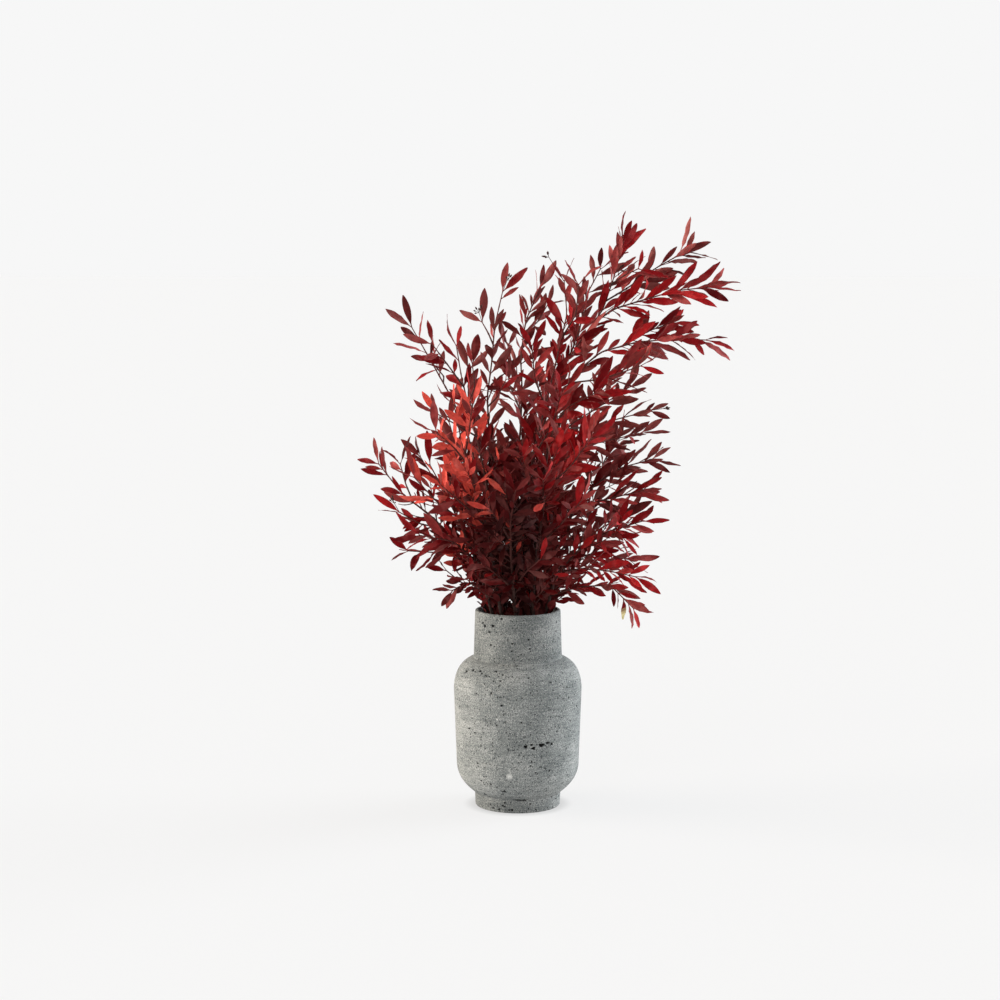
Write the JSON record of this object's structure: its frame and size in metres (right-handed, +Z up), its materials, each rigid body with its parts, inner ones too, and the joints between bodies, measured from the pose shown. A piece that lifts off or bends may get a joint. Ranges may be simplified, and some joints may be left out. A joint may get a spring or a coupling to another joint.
{
  "type": "vase of preserved eucalyptus",
  "caption": "Round-shouldered stone-look vase holding a loose bunch of red-dyed preserved eucalyptus stems with opposite lance-shaped leaves.",
  "frame": {"origin": "centre of the vase's flat underside", "axes": "+Z up along the vase's axis, -Y towards the side the sprays are turned to, +X to its right"},
  "size_m": [0.4486, 0.3172, 0.7091],
  "materials": {
    "cast_stone": "matt, turned and lightly pitted",
    "dyed_foliage": "matt, dyed and preserved"
  },
  "bodies": {
    "root": {"vase": "cast_stone", "stem_left_low": "dyed_foliage", "stem_left_tall": "dyed_foliage", "stem_left_front": "dyed_foliage", "stem_front_left": "dyed_foliage", "stem_left_mid": "dyed_foliage", "stem_tall_left": "dyed_foliage", "stem_tall_middle": "dyed_foliage", "stem_tall_right": "dyed_foliage", "stem_top_right": "dyed_foliage", "stem_far_right": "dyed_foliage", "stem_centre": "dyed_foliage", "stem_right_high": "dyed_foliage", "stem_right_low": "dyed_foliage", "stem_front_right": "dyed_foliage", "stem_front_low": "dyed_foliage", "stem_back_right": "dyed_foliage", "stem_back": "dyed_foliage", "stem_back_left": "dyed_foliage"}
  },
  "joints": []
}
